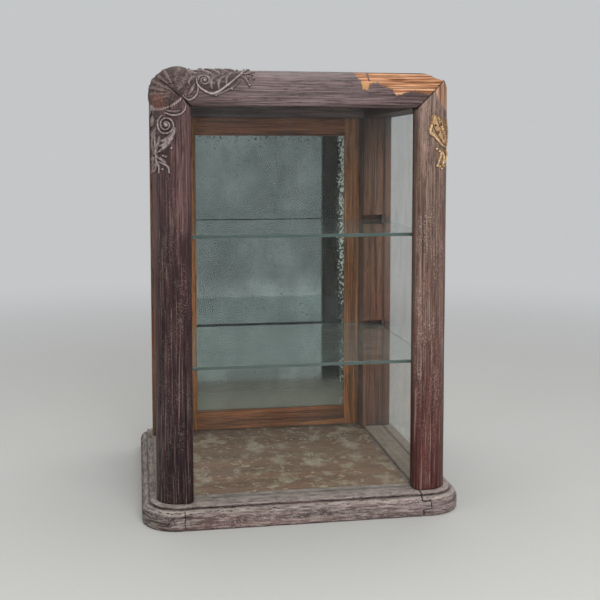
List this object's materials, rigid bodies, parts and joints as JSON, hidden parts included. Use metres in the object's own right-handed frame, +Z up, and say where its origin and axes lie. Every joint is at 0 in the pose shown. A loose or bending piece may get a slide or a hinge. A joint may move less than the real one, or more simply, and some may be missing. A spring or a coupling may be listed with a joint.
{
  "type": "countertop display case",
  "caption": "Veneered countertop display case on a moulded base, with glass front and sides, glass shelves, a mirrored door at the back and applied scroll ornament.",
  "frame": {"origin": "on the resting surface, under the middle of the whole case", "axes": "+Z up; the glass front faces -Y; +X is the viewer's right"},
  "size_m": [0.424, 0.395, 0.588],
  "materials": {
    "frame_veneer": "old dark red-brown veneer, worn",
    "carcass_wood": "dark stained, dusty",
    "base_wood": "dusty worn brown",
    "floor_wood": "worn and scratched",
    "dowel_wood": "raw",
    "door_oak": "varnished oak",
    "bead_wood": "stained",
    "clear_glass": "old clear glass",
    "mirror_glass": "aged silvering",
    "brass": "dull",
    "steel": "dull",
    "composition": "moulded composition, dark stained, worn on the high parts",
    "gilt_composition": "bare moulded composition, broken"
  },
  "bodies": {
    "carcass": {"front_post_left": "frame_veneer", "front_post_right": "frame_veneer", "top_front_rail": "frame_veneer", "rear_post_left": "carcass_wood", "rear_post_right": "carcass_wood", "top_side_rail_left": "carcass_wood", "top_side_rail_right": "carcass_wood", "rear_header": "carcass_wood", "top_panel": "carcass_wood", "base_front_rail": "base_wood", "base_corner_left": "base_wood", "base_corner_right": "base_wood", "base_side_rail_left": "base_wood", "base_side_rail_right": "base_wood", "base_back_rail": "base_wood", "side_sill_left": "base_wood", "side_sill_right": "base_wood", "floor_panel": "floor_wood", "floor_cleat_left": "floor_wood", "floor_cleat_right": "floor_wood", "base_dowels": "dowel_wood", "top_dowels": "dowel_wood", "glass_bead_left": "bead_wood", "glass_bead_right": "bead_wood", "glass_bead_top": "bead_wood", "front_glass": "clear_glass", "side_glass_left": "clear_glass", "side_glass_right": "clear_glass", "glass_shelf_lower": "clear_glass", "glass_shelf_upper": "clear_glass", "hinge_post_leaf_upper": "brass", "hinge_post_leaf_lower": "brass", "hinge_pin_upper": "steel", "hinge_pin_lower": "steel", "turn_button_screw": "steel", "corner_cap_left": "composition", "scroll_ornament_rail": "composition", "scroll_ornament_post": "composition", "ornament_remnant_right": "gilt_composition"},
    "door": {"door_stile_hinge": "door_oak", "door_stile_lock": "door_oak", "door_rail_top": "door_oak", "door_rail_bottom": "door_oak", "mirror_plate": "mirror_glass", "mirror_backboard": "door_oak", "mirror_fillets": "door_oak", "hinge_door_leaf_upper": "brass", "hinge_door_leaf_lower": "brass", "door_knob": "brass"},
    "button": {"turn_button": "brass"}
  },
  "joints": [
    {"name": "door_hinge", "type": "hinge", "parent": "carcass", "child": "door", "pos_m": [0.14525, 0.1765, 0.28575], "axis": [0, 0, -1], "range_deg": [0, 180]},
    {"name": "turn_button_pivot", "type": "hinge", "parent": "carcass", "child": "button", "pos_m": [-0.154, 0.1741, 0.359], "axis": [0, 1, 0], "continuous": true}
  ]
}
